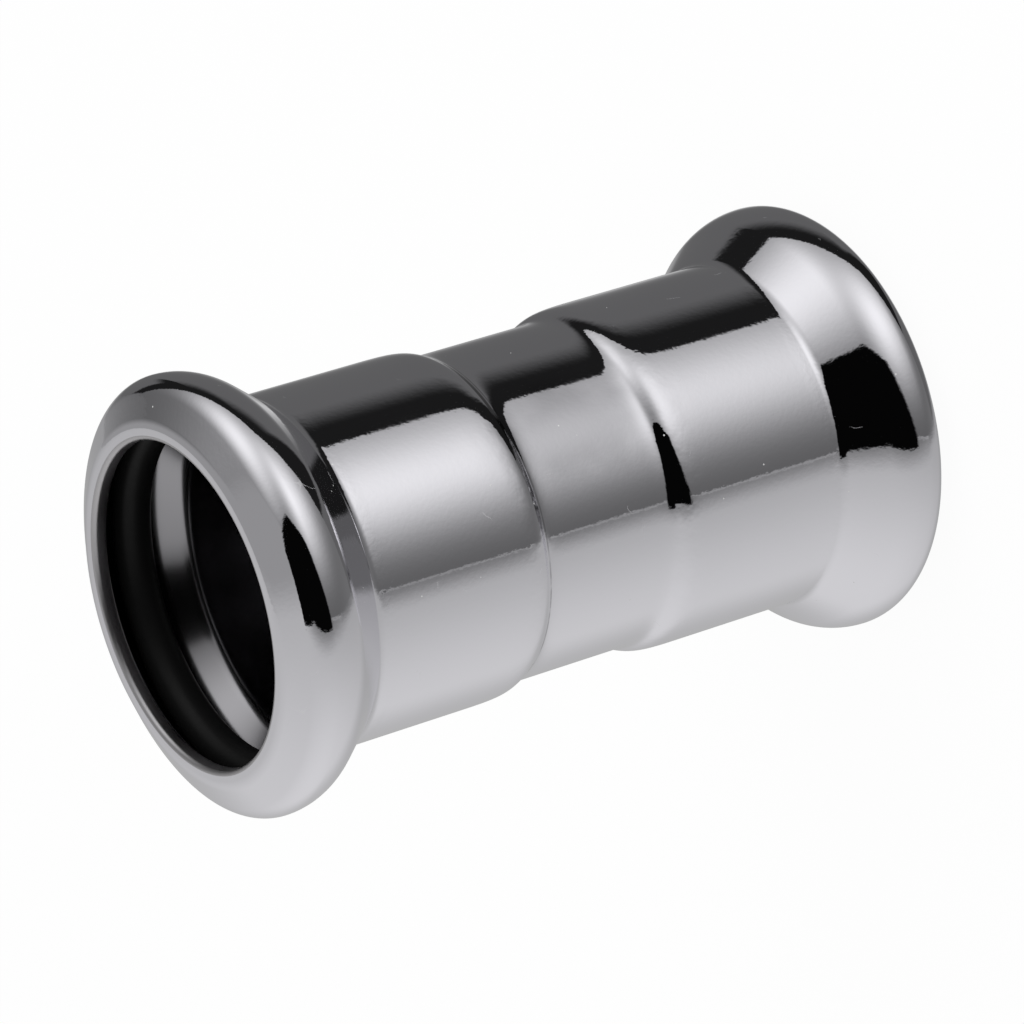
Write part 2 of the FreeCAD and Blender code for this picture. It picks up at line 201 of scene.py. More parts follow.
def inside_of_half(sleeve, face_end):
    """Walk from the cut face back through the lip, the seal chamber and the socket to the waist."""
    top = sleeve.overall_length / 2
    bore = sleeve.socket_bore
    wall = sleeve.wall
    edge = sleeve.mouth_edge_radius
    flank = math.degrees(sleeve.flank_angle)
    stop = math.degrees(sleeve.stop_angle)
    crown_y = top - sleeve.crown_station
    front_centre = (sleeve.crown_radius - sleeve.crown_front_radius, crown_y)
    back_centre = (sleeve.crown_radius - sleeve.crown_back_radius, crown_y)
    edge_centre = (bore + edge, top - edge)
    lip_centre = (bore + sleeve.lip_back_radius, top - edge - sleeve.lip_land)
    inner = sleeve.crown_front_radius - wall
    across = front_centre[0] - lip_centre[0]
    along = lip_centre[1] - front_centre[1]
    touch = math.asin((inner + sleeve.lip_back_radius) / math.hypot(across, along))
    turn = math.degrees(math.atan2(across, along) + touch)
    flank_high = on_circle(back_centre, sleeve.crown_back_radius, -flank)
    neck_y = neck_height(sleeve, flank_high, bore + wall)
    shoulder_y = top - sleeve.insertion_depth
    toe_y = toe_height(sleeve, shoulder_y)
    line = Outline(sleeve.arc_step, sleeve.run_step)
    line.run(face_end, (bore + edge, top))
    line.arc(edge_centre, edge, 90, 180)
    line.run((bore, top - edge), (bore, lip_centre[1]))
    line.arc(lip_centre, sleeve.lip_back_radius, 180, 180 + turn)
    line.arc(front_centre, inner, turn, 0)
    line.arc(back_centre, sleeve.crown_back_radius - wall, 0, -flank)
    line.arc((bore + wall + sleeve.neck_radius, neck_y), sleeve.neck_radius + wall, 180 - flank, 180)
    line.run((bore, neck_y), (bore, shoulder_y))
    line.arc((bore + wall - sleeve.shoulder_radius, shoulder_y), sleeve.shoulder_radius - wall, 0, -stop)
    waist = bore - sleeve.stop_height
    line.arc((waist + wall + sleeve.toe_radius, toe_y), sleeve.toe_radius + wall, 180 - stop, 180)
    line.run((waist, toe_y), (waist, 0))
    return line.points


def sleeve_section(sleeve):
    """Join the upper half's outline with its mirror image, as one closed loop of (radius, height).

    The second list tells 1 for each side of the loop that lies inside the sleeve, 0 for the polished outside.
    """
    outside = outside_of_half(sleeve)
    upper = outside + inside_of_half(sleeve, outside[-1])[1:]
    lower = [(r, -y) for r, y in reversed(upper)]
    middle = sleeve.overall_length / 2
    within = [int(i >= len(outside) - 1 and y < middle - 1e-6) for i, (r, y) in enumerate(upper[1:])]
    return [(r, y + middle) for r, y in upper[:-1] + lower[:-1]], within + within[::-1]


def ring_section(ring, station):
    """Round section of a seal ring, standing at a height above the lower mouth."""
    count = ring.cord_steps
    centre = (ring.bore_radius + ring.cord / 2, station)
    return [on_circle(centre, ring.cord / 2, 360 * i / count) for i in range(count)]


def turn_section(name, section, finishes, steps, *materials):
    """Turn a closed section round the Z axis and return the object.

    Each side of the section has a finish: the number of one of the materials.
    """
    bm = bmesh.new()
    rings = []
    for i in range(steps):
        turn = 2 * math.pi * i / steps
        c, s = math.cos(turn), math.sin(turn)
        rings.append([bm.verts.new((r * c, r * s, z)) for r, z in section])
    for ring, following in zip(rings, rings[1:] + rings[:1]):
        corners = zip(ring, ring[1:] + ring[:1], following[1:] + following[:1], following, finishes)
        for a, b, c, d, finish in corners:
            face = bm.faces.new((a, d, c, b))
            face.smooth = True
            face.material_index = finish
    bmesh.ops.recalc_face_normals(bm, faces=bm.faces)
    return new_piece(name, bm, *materials)


def new_piece(name, bm, *materials):
    """Put a finished surface into the scene as an object with these materials, and return it."""
    mesh = bpy.data.meshes.new(name)
    bm.to_mesh(mesh)
    bm.free()
    for material in materials:
        mesh.materials.append(material)
    piece = bpy.data.objects.new(name, mesh)
    bpy.context.scene.collection.objects.link(piece)
    return piece


# node trees

class NodeSketch:
    """Shader nodes written as short formulas: each call adds a node and returns its output."""

    def __init__(self, tree):
        self.tree = tree
        self.tree.nodes.clear()

    def add(self, kind, **settings):
        made = self.tree.nodes.new(kind)
        for name, value in settings.items():
            setattr(made, name, value)
        return made

    def join(self, source, target):
        if isinstance(source, bpy.types.NodeSocket):
            self.tree.links.new(source, target)
        else:
            target.default_value = source

    def show(self, shader, kind="ShaderNodeOutputMaterial"):
        """Make this shader what the surface shows."""
        output = self.add(kind)
        self.join(shader, output.inputs["Surface"])

    def math(self, operation, *values):
        made = self.add("ShaderNodeMath", operation=operation)
        for value, socket in zip(values, made.inputs):
            self.join(value, socket)
        return made.outputs[0]

    def vector(self, operation, *values):
        made = self.add("ShaderNodeVectorMath", operation=operation)
        for value, socket in zip(values, made.inputs):
            self.join(value, socket)
        return made.outputs["Value" if operation in ("DOT_PRODUCT", "LENGTH") else "Vector"]

    def blend(self, share, first, second):
        """Blend two numbers."""
        made = self.add("ShaderNodeMix", data_type="FLOAT")
        for value, socket in zip((share, first, second), (made.inputs[0], made.inputs[2], made.inputs[3])):
            self.join(value, socket)
        return made.outputs[0]

    def mix(self, share, first, second):
        """Blend two colours, each given as three numbers or as a node's output."""
        made = self.add("ShaderNodeMix", data_type="RGBA")
        self.join(share, made.inputs[0])
        for colour, socket in ((first, made.inputs[6]), (second, made.inputs[7])):
            self.join(colour if isinstance(colour, bpy.types.NodeSocket) else (*colour, 1), socket)
        return made.outputs[2]

    def ramp(self, value, low, high):
        """Rise smoothly from 0 at low to 1 at high."""
        made = self.add("ShaderNodeMapRange", interpolation_type="SMOOTHSTEP")
        self.join(value, made.inputs["Value"])
        made.inputs["From Min"].default_value = low
        made.inputs["From Max"].default_value = high
        return made.outputs["Result"]

    def fade(self, value, low, high, first, second):
        """Go smoothly from the first number to the second as the value goes from low to high."""
        return self.math("MULTIPLY_ADD", self.ramp(value, low, high), second - first, first)

    def side(self, direction, normal, offset, softness):
        """Tell 1 on the side of a plane that its normal points to, 0 on the other."""
        distance = self.math("SUBTRACT", self.vector("DOT_PRODUCT", direction, normal), offset)
        return self.ramp(distance, -softness, softness)

    def within(self, direction, *edges):
        """Tell 1 where a direction is on the inner side of all these planes."""
        inside = self.side(direction, *edges[0])
        for edge in edges[1:]:
            inside = self.math("MULTIPLY", inside, self.side(direction, *edge))
        return inside

    def glow(self, direction, azimuth, elevation, narrowness):
        """A round soft light, seen by the angle from its middle."""
        middle = heading(azimuth, elevation)
        facing = self.math("MAXIMUM", self.vector("DOT_PRODUCT", direction, middle), 0.0)
        return self.math("POWER", facing, narrowness)

    def noise(self, place, size, detail=2):
        """Cloudy pattern between 0 and 1 whose patches are about the given size."""
        made = self.add("ShaderNodeTexNoise")
        self.join(place, made.inputs["Vector"])
        made.inputs["Scale"].default_value = 1 / size
        made.inputs["Detail"].default_value = detail
        return made.outputs["Fac"]

    def relief(self, height, distance, normal=None):
        """Normal of a surface that rises by the distance where the height is 1."""
        made = self.add("ShaderNodeBump")
        made.inputs["Distance"].default_value = distance
        self.join(height, made.inputs["Height"])
        if normal:
            self.join(normal, made.inputs["Normal"])
        return made.outputs["Normal"]


def new_material(name):
    """Empty material, and the sketch that fills it."""
    material = bpy.data.materials.new(name)
    material.use_nodes = True
    return material, NodeSketch(material.node_tree)


def place_on_piece(sketch):
    """Place on the piece, the same place's three measures, and its height above the sleeve's middle."""
    place = sketch.add("ShaderNodeTexCoord").outputs["Object"]
    split = sketch.add("ShaderNodeSeparateXYZ")
    sketch.join(place, split.inputs["Vector"])
    return place, split.outputs, sketch.math("SUBTRACT", split.outputs["Z"], MIDDLE.z)


def heading(azimuth, elevation):
    """Unit vector in the picture's axes: azimuth 0 is towards the camera, 90 is to the right."""
    a, e = math.radians(azimuth), math.radians(elevation)
    return (math.sin(a) * math.cos(e), math.sin(e), math.cos(a) * math.cos(e))


# finishes

# where a pattern is gone and where it is whole
LINE_PIECES = (0.2, 0.6)
MARK_DOTS = (0.38, 0.55)
SCRATCH_CORE = (0.002, 0.006)
SCRATCH_PATCHES = (0.64, 0.7)
SMEARS = (0.35, 0.75)
PATCH_EDGE = (0.55, 1.25)

# share of a line's half width that is at full strength, and how ragged the darker patch's edge is
LINE_CORE = 0.3
MARK_CORE = 0.6
PATCH_RAGGEDNESS = 0.5


def band(sketch, height, station, inner, outer):
    """Tell 1 at a station along the sleeve, fading to 0 between the inner and the outer distance from it."""
    off = sketch.math("ABSOLUTE", sketch.math("SUBTRACT", height, station))
    return sketch.math("SUBTRACT", 1.0, sketch.ramp(off, inner, outer))


def painted_crease_shade(sketch, place, height, finish):
    """Tell 1 on the fine broken line of painted shade along the crease at the foot of the upper pipe stop."""
    line = band(sketch, height, finish.line_station, LINE_CORE * finish.line_width, finish.line_width)
    pieces = sketch.ramp(sketch.noise(place, finish.line_piece, 4), *LINE_PIECES)
    return sketch.math("MULTIPLY", line, pieces)


def painted_stop_streak(sketch, place, sideways, height, finish):
    """Tell 1 on a painted dark reflection streak half way up the same stop: whole over the top, broken into
    dots in front.
    """
    line = band(sketch, height, finish.mark_station, MARK_CORE * finish.mark_width, finish.mark_width)
    over = sketch.math("MULTIPLY_ADD", sideways, 1 / finish.mark_fade, sketch.noise(place, finish.mark_dot))
    return sketch.math("MULTIPLY", line, sketch.ramp(over, *MARK_DOTS))


def specks(sketch, place, finish):
    """Tell 1 on a few tiny dust specks."""
    cells = sketch.add("ShaderNodeTexVoronoi")
    sketch.join(place, cells.inputs["Vector"])
    cells.inputs["Scale"].default_value = 1 / finish.speck_gap
    lot = sketch.vector("DOT_PRODUCT", cells.outputs["Color"], (1.0, 0.0, 0.0))
    chosen = sketch.math("GREATER_THAN", lot, 1 - finish.speck_share)
    dot = sketch.math("LESS_THAN", cells.outputs["Distance"], finish.speck_size / finish.speck_gap)
    return sketch.math("MULTIPLY", chosen, dot)


def hairlines(sketch, place, finish):
    """Tell 1 on a few short thin scratches: contour lines of a slow noise, shown in small patches only."""
    off = sketch.math("ABSOLUTE", sketch.math("SUBTRACT", sketch.noise(place, finish.scratch_bend, 1), 0.5))
    thin = sketch.math("SUBTRACT", 1.0, sketch.ramp(off, *SCRATCH_CORE))
    patches = sketch.ramp(sketch.noise(place, finish.scratch_length), *SCRATCH_PATCHES)
    return sketch.math("MULTIPLY", thin, patches)


def darker_patch(sketch, place, finish):
    """Tell how far a place lies inside the darker patch on the front of the waist, from 0 to 1."""
    radius, along, across = finish.patch_radius, finish.patch_reach, finish.patch_reach / finish.patch_slimness
    middle = (radius * math.sin(finish.patch_turn), -radius * math.cos(finish.patch_turn), finish.patch_station)
    offset = sketch.vector("SUBTRACT", place, middle)
    scaled = sketch.vector("MULTIPLY", offset, (1 / across, 1 / across, 1 / along))
    cloud = sketch.noise(place, finish.patch_cloud)
    edge = sketch.math("MULTIPLY_ADD", cloud, PATCH_RAGGEDNESS, sketch.vector("LENGTH", scaled))
    return sketch.math("SUBTRACT", 1.0, sketch.ramp(edge, *PATCH_EDGE))


def polished_steel(finish):
    """Bright drawn steel: close to a mirror, with a wavy skin, a few specks, a darker patch on the waist, and
    painted shade at the upper pipe stop: a dark line along its crease and a dark reflection streak on its
    slope.
    """
    material, sketch = new_material("polished_steel")
    shader = sketch.add("ShaderNodeBsdfPrincipled")
    place, measures, height = place_on_piece(sketch)
    dust = sketch.math("MULTIPLY", hairlines(sketch, place, finish), finish.scratch_strength)
    dust = sketch.math("MAXIMUM", dust, specks(sketch, place, finish))
    # a darker patch on the front of the waist dims the steel's colour
    dimming = sketch.math("MULTIPLY", darker_patch(sketch, place, finish), finish.patch_strength)
    # painted shade: a dark broken line along the crease at the upper stop's foot darkens the steel's colour
    line = sketch.math("MULTIPLY", painted_crease_shade(sketch, place, height, finish), finish.line_darkness)
    # painted reflection: a dark streak on the upper stop's slope, whole on one side and broken into dots in
    # front
    mark = painted_stop_streak(sketch, place, measures["X"], height, finish)
    mark = sketch.math("MULTIPLY", mark, finish.mark_darkness)
    dimming = sketch.math("MAXIMUM", dimming, sketch.math("MAXIMUM", line, mark))
    clean = sketch.mix(dimming, finish.colour, (0, 0, 0))
    sketch.join(sketch.mix(dust, clean, finish.dust_colour), shader.inputs["Base Color"])
    sketch.join(sketch.math("SUBTRACT", 1.0, dust), shader.inputs["Metallic"])
    smear = sketch.ramp(sketch.noise(place, finish.smear_size), *SMEARS)
    rough = sketch.math("MULTIPLY_ADD", smear, finish.roughness_spread, finish.roughness)
    sketch.join(rough, shader.inputs["Roughness"])
    either_half = sketch.math("ABSOLUTE", height)
    at_steps = band(sketch, either_half, finish.step_station, finish.work_core, finish.step_reach)
    dents = sketch.math("MULTIPLY", sketch.noise(place, finish.dent_size), at_steps)
    normal = sketch.relief(dents, finish.dent_height)
    at_necks = band(sketch, either_half, finish.neck_station, finish.work_core, finish.neck_reach)
    marks = sketch.math("MULTIPLY", sketch.noise(place, finish.tool_size), at_necks)
    normal = sketch.relief(marks, finish.tool_depth, normal)
    normal = sketch.relief(sketch.noise(place, finish.skin_size, 3), finish.skin_height, normal)
    sketch.join(normal, shader.inputs["Normal"])
    sketch.show(shader.outputs["BSDF"])
    return material


def dull_shaded_inside(finish):
    """Inside of the sleeve: the steel as it was drawn, without the polish, its colour darkened as painted
    shade in the bore and lighter at the lip, partly rubbed bright and partly painted light.
    """
    material, sketch = new_material("dull_shaded_inside")
    shader = sketch.add("ShaderNodeBsdfPrincipled")
    shader.inputs["Metallic"].default_value = 1
    place, _, height = place_on_piece(sketch)
    lip = sketch.ramp(sketch.math("ABSOLUTE", height), finish.lip_station, CAD_HIGH[2] / 2)
    # painted shade and light: darker colour deep in the bore, lighter at the lip, where it is partly rubbed
    # bright
    sketch.join(sketch.mix(lip, finish.shaded_inside_colour, finish.rubbed_and_lit_lip_colour), shader.inputs["Base Color"])
    smear = sketch.noise(place, finish.smear_size, 4)
    rough = sketch.math("MULTIPLY_ADD", smear, finish.inside_spread, finish.inside_roughness)
    rough = sketch.math("MULTIPLY_ADD", lip, finish.lip_roughness, rough)
    sketch.join(rough, shader.inputs["Roughness"])
    sketch.join(sketch.relief(smear, finish.skin_height), shader.inputs["Normal"])
    sketch.show(shader.outputs["BSDF"])
    return material


def moulded_rubber(finish):
    """Black moulded rubber with a faint sheen and a fine uneven skin."""
    material, sketch = new_material("moulded_rubber")
    shader = sketch.add("ShaderNodeBsdfPrincipled")
    shader.inputs["Base Color"].default_value = (*finish.colour, 1)
    shader.inputs["Specular IOR Level"].default_value = finish.sheen
    grain = sketch.noise(sketch.add("ShaderNodeTexCoord").outputs["Object"], finish.grain_size)
    rough = sketch.math("MULTIPLY_ADD", grain, finish.roughness_spread, finish.roughness)
    sketch.join(rough, shader.inputs["Roughness"])
    sketch.join(sketch.relief(grain, finish.grain_height), shader.inputs["Normal"])
    sketch.show(shader.outputs["BSDF"])
    return material


# light tent: each edge is a plane, given as its normal in the picture's axes (right, up, to the camera), its
# distance from the middle and its softness

ROOF_EDGE = ((-0.1, -0.56, 1.0), -0.562, 0.01)
GREY_WALL = (((0.12, 0.25, -1.0), 0.575, 0.13), ((0.82, 0.49, -0.31), 0.068, 0.014),
             ((-0.89, 0.15, -0.46), -0.065, 0.04))
WALL_BELOW = (((0.0, -1.0, 0.0), -0.52, 0.02), ((1.0, 0.0, 0.0), 0.0, 0.1))
WALL_ON_THE_LEFT = (((0.63, 0.0, -0.78), 0.0, 0.03), ((0.0, -1.0, 0.0), -0.55, 0.06),
                    ((-1.0, 0.0, 0.0), 0.2, 0.05))
LOW_WALL = ((-1.0, 0.0, -0.7), 0.0, 0.25)
CAMERA_OPENING = (((0.0, -1.0, 0.4), 0.0, 0.02), ((0.52, -1.0, 0.5), 0.0, 0.02),
                  ((1.0, 0.0, 1.55), 0.0, 0.03), ((-0.8, -1.0, 0.72), 0.0, 0.06))
TABLE_FRONT = ((0.0, -1.0, -0.5), 0.0, 0.012)
TABLE_BEYOND = ((1.0, 0.0, 0.0), 0.78, 0.03)
TABLE_LEFT = ((0.34, -1.0, -0.4), 0.0, 0.012)
TABLE_RIGHT = ((0.0, -1.0, -0.27), 0.037, 0.006)
TABLE_RIGHT_BLURRED = ((0.0, -1.0, -0.27), 0.05, 0.06)
TABLE_RIM = ((0.0, -1.0, -0.27), 0.058, 0.006)
TABLE_RIGHT_CRISP_PART = ((0.0, 0.0, 1.0), 0.2, 0.08)

# its lights: azimuth and elevation in degrees, and narrowness
LEFT_LAMP = (-53, 41, 6.8)
RIGHT_LAMP = (40, 43, 7.8)
LOW_RIGHT_GLOW = (112, 3, 9)
WHITE_PAPER = (168, 4, 42)

# brightness of its parts
ROOF_TONE = 0.24
LOW_RIGHT_TONE = 0.055
PAPER_TONE = 1.6
GREY_TONE = 0.14
DARK_CORNER = 0.013
OPENING_TONE = 0.002
TABLE_TONE = 0.44
TABLE_GAIN_DOWN = 0.35
TABLE_GAIN_AWAY = 0.16
RIM_TONE = 0.11

# fades: from where to where, and the brightness or the share at both ends
WALL_TOP = (-0.27, -0.24, 0.0, 1.0)
WALL_SHADE = (-0.28, -0.02, 0.15, 0.36)
WALL_BOUNCE = (0.25, 0.45, 0.0, 0.2)
TABLE_FAR_SHADE = (0.5, 0.9, 1.0, 0.8)
TABLE_FRONT_SHADE = (-0.15, 0.19, 0.44, 1.0)


def tent_tone(sketch, direction, studio):
    """Brightness of the tent's lining in each direction, from the picture's middle."""
    height = sketch.vector("DOT_PRODUCT", direction, (0.0, 1.0, 0.0))
    down = sketch.math("MULTIPLY", height, -1.0)
    tone = lit_cloth(sketch, direction, height, studio)
    tone = sketch.blend(sketch.side(direction, *ROOF_EDGE), rear_wall(sketch, direction), tone)
    tone = sketch.math("MAXIMUM", tone, low_wall(sketch, direction, down))
    tone = sketch.blend(sketch.within(direction, *CAMERA_OPENING), tone, OPENING_TONE)
    return sketch.blend(table_edge(sketch, direction), tone, table_top(sketch, direction, down))


def lit_cloth(sketch, direction, height, studio):
    """Roof and sides: grey cloth with one lamp shining on it from the left and one from the right."""
    left = sketch.math("MULTIPLY", sketch.glow(direction, *LEFT_LAMP), studio.left_lamp)
    right = sketch.math("MULTIPLY", sketch.glow(direction, *RIGHT_LAMP), studio.right_lamp)
    above = sketch.math("MAXIMUM", height, 0.0)
    roof = sketch.math("MULTIPLY", sketch.math("POWER", above, 3.0), ROOF_TONE)
    low_right = sketch.math("MULTIPLY", sketch.glow(direction, *LOW_RIGHT_GLOW), LOW_RIGHT_TONE)
    lining = sketch.math("ADD", sketch.math("ADD", roof, low_right), studio.lining_tone)
    return sketch.math("ADD", sketch.math("ADD", left, right), lining)


def rear_wall(sketch, direction):
    """Behind the roof's edge the tent is dark round a grey wall, which carries a white paper."""
    grey = sketch.math("MULTIPLY_ADD", sketch.glow(direction, *WHITE_PAPER), PAPER_TONE, GREY_TONE)
    wall = sketch.within(direction, *GREY_WALL)
    wall = sketch.math("MAXIMUM", wall, sketch.within(direction, *WALL_ON_THE_LEFT))
    wall = sketch.math("MAXIMUM", wall, sketch.within(direction, *WALL_BELOW))
    return sketch.blend(wall, DARK_CORNER, grey)


def low_wall(sketch, direction, down):
    """Bottom of the left and rear walls, which the table throws light back onto."""
    tone = sketch.math("ADD", sketch.fade(down, *WALL_SHADE), sketch.fade(down, *WALL_BOUNCE))
    where = sketch.math("MULTIPLY", sketch.fade(down, *WALL_TOP), sketch.side(direction, *LOW_WALL))
    return sketch.math("MULTIPLY", tone, where)


def table_edge(sketch, direction):
    """Where the table begins below the tent's walls: two front edges and a long right edge.

    The right edge is crisp in front. Further back the cloth hangs over it and blurs it.
    """
    beyond = sketch.side(direction, *TABLE_BEYOND)
    front = sketch.math("MAXIMUM", sketch.side(direction, *TABLE_FRONT), beyond)
    crisp_part = sketch.side(direction, *TABLE_RIGHT_CRISP_PART)
    blurred = sketch.side(direction, *TABLE_RIGHT_BLURRED)
    right = sketch.blend(crisp_part, blurred, sketch.side(direction, *TABLE_RIGHT))
    return sketch.math("MULTIPLY", sketch.math("MULTIPLY", front, sketch.side(direction, *TABLE_LEFT)), right)


def table_top(sketch, direction, down):
    """Pale table, darker towards its front edge, with a light cut rim along its right edge."""
    flat = sketch.math("MULTIPLY_ADD", down, TABLE_GAIN_DOWN, TABLE_TONE)
    away = sketch.vector("DOT_PRODUCT", direction, (0.0, 0.0, -1.0))
    flat = sketch.math("MULTIPLY", flat, sketch.math("MULTIPLY_ADD", away, TABLE_GAIN_AWAY, 1.0))
    flat = sketch.math("MULTIPLY", flat, sketch.fade(away, *TABLE_FAR_SHADE))
    inward = sketch.vector("DOT_PRODUCT", direction, (0.0, -1.0, -0.6))
    shade = sketch.fade(inward, *TABLE_FRONT_SHADE)
    rim = sketch.math("SUBTRACT", 1.0, sketch.side(direction, *TABLE_RIM))
    rim = sketch.math("MULTIPLY", rim, sketch.side(direction, *TABLE_RIGHT_CRISP_PART))
    return sketch.math("MULTIPLY_ADD", rim, RIM_TONE, sketch.math("MULTIPLY", flat, shade))


def tent_lining(studio):
    """Glowing lining of the tent. Only reflections see it."""
    material, sketch = new_material("tent_lining")
    direction = sketch.vector("NORMALIZE", sketch.add("ShaderNodeTexCoord").outputs["Object"])
    light = sketch.add("ShaderNodeEmission")
    sketch.join(tent_tone(sketch, direction, studio), light.inputs["Strength"])
    sketch.show(light.outputs["Emission"])
    material.cycles.emission_sampling = "NONE"
    return material


# studio

def white_for_the_picture(sketch):
    """Tell 1 for rays that come from the camera, a reflection or clear material, 0 for lighting rays."""
    path = sketch.add("ShaderNodeLightPath")
    seen = sketch.math("MAXIMUM", path.outputs["Is Camera Ray"], path.outputs["Is Glossy Ray"])
    return sketch.math("MAXIMUM", seen, path.outputs["Is Transmission Ray"])


def set_world(studio):
    """White behind the coupling, and a plain even light on it."""
    world = bpy.data.worlds.new("studio_air")
    world.use_nodes = True
    sketch = NodeSketch(world.node_tree)
    back = sketch.add("ShaderNodeBackground")
    back.inputs["Color"].default_value = (1, 1, 1, 1)
    sketch.join(sketch.blend(white_for_the_picture(sketch), studio.air_light, 1.0), back.inputs["Strength"])
    sketch.show(back.outputs["Background"], "ShaderNodeOutputWorld")
    bpy.context.scene.world = world


def pale_floor(studio):
    """Pale matt floor that looks white and still takes the coupling's shadow."""
    material, sketch = new_material("pale_floor")
    matt = sketch.add("ShaderNodeBsdfDiffuse")
    matt.inputs["Color"].default_value = (*studio.floor_colour, 1)
    light = sketch.add("ShaderNodeEmission")
    both = sketch.add("ShaderNodeMixShader")
    share = sketch.math("MULTIPLY", white_for_the_picture(sketch), studio.floor_whiteness)
    for value, socket in zip((share, matt.outputs["BSDF"], light.outputs["Emission"]), both.inputs):
        sketch.join(value, socket)
    sketch.show(both.outputs["Shader"])
    return material


def picture_axes(studio):
    """Rotation whose columns are the picture's right, its top and the way back to the camera."""
    tilt, roll = studio.camera_tilt, studio.camera_roll
    back = Vector((0, -math.cos(tilt), math.sin(tilt)))
    level = Vector((1, 0, 0))
    over = back.cross(level)
    right = level * math.cos(roll) + over * math.sin(roll)
    up = back.cross(right)
    return Matrix((right, up, back)).transposed()


def add_camera(studio):
    axes = picture_axes(studio)
    offset = axes @ Vector((studio.aim_aside, studio.aim_above, -studio.camera_distance))
    data = bpy.data.cameras.new("camera")
    data.lens = studio.camera_lens
    data.sensor_width = 36
    data.clip_start = 10 * MM
    camera = bpy.data.objects.new("camera", data)
    camera.matrix_world = Matrix.Translation(MIDDLE - offset) @ axes.to_4x4()
    bpy.context.scene.collection.objects.link(camera)
    bpy.context.scene.camera = camera


def add_tent(studio):
    """Round tent of cloth about the coupling, which only reflections see."""
    bm = bmesh.new()
    bmesh.ops.create_icosphere(bm, subdivisions=4, radius=studio.tent_radius)
    tent = new_piece("light_tent", bm, tent_lining(studio))
    tent.matrix_world = Matrix.Translation(MIDDLE) @ picture_axes(studio).to_4x4()
    for rays in ("camera", "diffuse", "shadow", "transmission", "volume_scatter"):
        setattr(tent, "visible_" + rays, False)
    tent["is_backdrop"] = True


def add_floor(studio):
    """Round floor inside the tent. The steel mirrors the tent's table in its place."""
    bm = bmesh.new()
    bmesh.ops.create_circle(bm, cap_ends=True, segments=128, radius=studio.floor_radius)
    floor = new_piece("floor", bm, pale_floor(studio))
    floor.location = (0, 0, CAD_LOW[2] - studio.floor_gap)
    floor.visible_glossy = False
    floor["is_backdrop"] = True


def add_lamp(studio):
    """One soft lamp above the coupling for its matt parts and its shadow."""
    data = bpy.data.lights.new("soft_lamp", "AREA")
    data.shape = "DISK"
    data.size = studio.lamp_size
    data.energy = studio.lamp_power
    lamp = bpy.data.objects.new("soft_lamp", data)
    toward = picture_axes(studio) @ Vector(heading(studio.lamp_azimuth, studio.lamp_elevation))
    lamp.location = MIDDLE + toward * studio.lamp_distance
    lamp.rotation_euler = toward.to_track_quat("Z", "Y").to_euler()
    lamp.visible_glossy = False
    bpy.context.scene.collection.objects.link(lamp)


# settings

